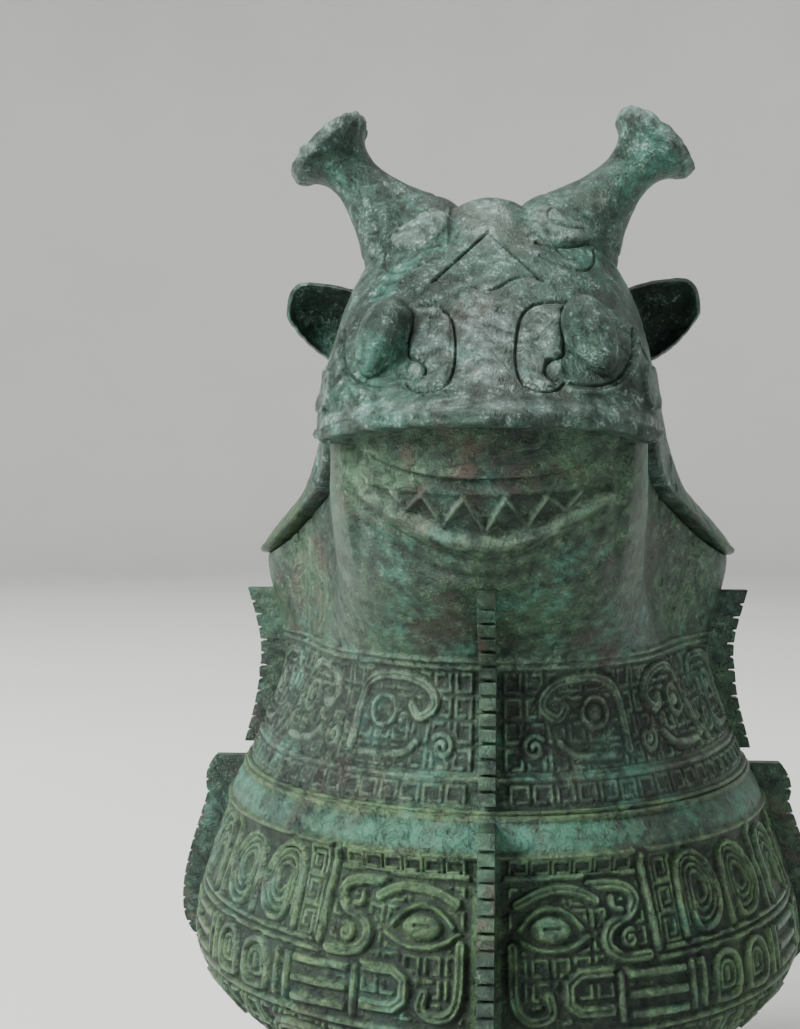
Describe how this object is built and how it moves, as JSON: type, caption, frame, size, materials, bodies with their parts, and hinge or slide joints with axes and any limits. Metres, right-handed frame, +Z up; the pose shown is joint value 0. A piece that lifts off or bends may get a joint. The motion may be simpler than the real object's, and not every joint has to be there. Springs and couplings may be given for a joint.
{
  "type": "bronze guang vessel",
  "caption": "Oval bronze pouring vessel with a beast-headed lift-off lid, bottle horns, notched flanges, an oval foot ring and a loop handle.",
  "frame": {"origin": "on the floor under the middle of the whole length", "axes": "+Z up, -Y the way the beast's head looks, +Y to the handle, +X the beast's left side"},
  "size_m": [0.1524, 0.2474, 0.243],
  "materials": {
    "bronze": "cast bronze under a rough green patina with brown patches",
    "bronze_cast_on": "cast bronze under a rough green patina, worn lighter on the edges",
    "bronze_flange": "cast bronze under a dark green patina, grey on the edges",
    "clay": "fired clay casting core, rough and crumbly"
  },
  "bodies": {
    "vessel": {"vessel_bowl": "bronze", "foot_ring": "bronze", "belly_flange_front": "bronze_flange", "belly_flange_left": "bronze_flange", "belly_flange_right": "bronze_flange", "neck_flange_front": "bronze_flange", "neck_flange_left": "bronze_flange", "neck_flange_right": "bronze_flange", "foot_flange_front": "bronze_flange", "foot_flange_left": "bronze_flange", "foot_flange_rear": "bronze_flange", "foot_flange_right": "bronze_flange", "handle_loop": "bronze_cast_on", "handle_head": "bronze_cast_on", "handle_ear_left": "bronze_cast_on", "handle_ear_right": "bronze_cast_on", "handle_tail": "bronze_cast_on", "handle_core": "clay"},
    "lid": {"lid_shell": "bronze", "horn_left": "bronze_cast_on", "horn_right": "bronze_cast_on", "ear_left": "bronze_cast_on", "ear_right": "bronze_cast_on", "eye_left": "bronze_cast_on", "eye_right": "bronze_cast_on", "rear_mask_eye_left": "bronze_cast_on", "rear_mask_eye_right": "bronze_cast_on", "lid_spine_flange": "bronze_flange"}
  },
  "joints": [
    {"name": "lid_lift", "type": "slide", "parent": "vessel", "child": "lid", "axis": [0, 0, 1], "range_m": [0, 0.06]}
  ]
}
